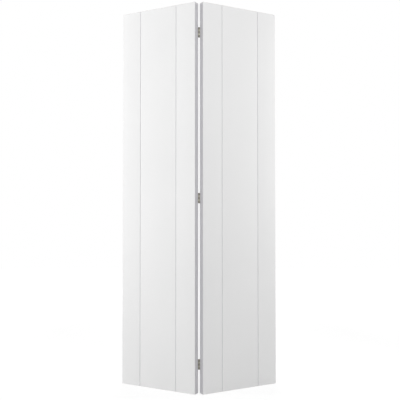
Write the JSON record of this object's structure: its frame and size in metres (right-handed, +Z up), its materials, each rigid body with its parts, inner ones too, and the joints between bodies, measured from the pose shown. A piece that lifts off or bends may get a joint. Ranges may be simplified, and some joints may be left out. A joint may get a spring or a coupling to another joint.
{
  "type": "bifold closet door",
  "caption": "White bifold closet door: hollow-core slab leaves with vertical grooves, joined by surface-mounted hinges so that they fold back to back.",
  "frame": {"origin": "middle of the half-folded door's footprint, on the floor", "axes": "+Z up, front towards -Y with the hinge line forward, +X to the right seen from the front"},
  "size_m": [0.8312, 0.2454, 2.007],
  "materials": {
    "face_skin": "satin white paint on pressed hardboard",
    "stile": "satin white paint on the edge, sawn wood at the ends",
    "rail": "sawn softwood",
    "core_paper": "kraft paper",
    "hinge_plate": "satin nickel",
    "hinge_pin": "satin nickel",
    "hinge_screw": "satin nickel"
  },
  "bodies": {
    "left_leaf": {"left_front_skin": "face_skin", "left_back_skin": "face_skin", "left_hinge_stile": "stile", "left_outer_stile": "stile", "left_top_rail": "rail", "left_bottom_rail": "rail", "left_honeycomb_core": "core_paper", "hinge_top_plate_left": "hinge_plate", "hinge_top_screws_left": "hinge_screw", "hinge_top_pin": "hinge_pin", "hinge_middle_plate_left": "hinge_plate", "hinge_middle_screws_left": "hinge_screw", "hinge_middle_pin": "hinge_pin", "hinge_bottom_plate_left": "hinge_plate", "hinge_bottom_screws_left": "hinge_screw", "hinge_bottom_pin": "hinge_pin"},
    "right_leaf": {"right_front_skin": "face_skin", "right_back_skin": "face_skin", "right_hinge_stile": "stile", "right_outer_stile": "stile", "right_top_rail": "rail", "right_bottom_rail": "rail", "right_honeycomb_core": "core_paper", "hinge_top_plate_right": "hinge_plate", "hinge_top_screws_right": "hinge_screw", "hinge_middle_plate_right": "hinge_plate", "hinge_middle_screws_right": "hinge_screw", "hinge_bottom_plate_right": "hinge_plate", "hinge_bottom_screws_right": "hinge_screw"}
  },
  "joints": [
    {"name": "fold", "type": "hinge", "parent": "left_leaf", "child": "right_leaf", "pos_m": [0, -0.08914, 1.0035], "axis": [0, 0, 1], "range_deg": [-57.2, 122.8]}
  ]
}
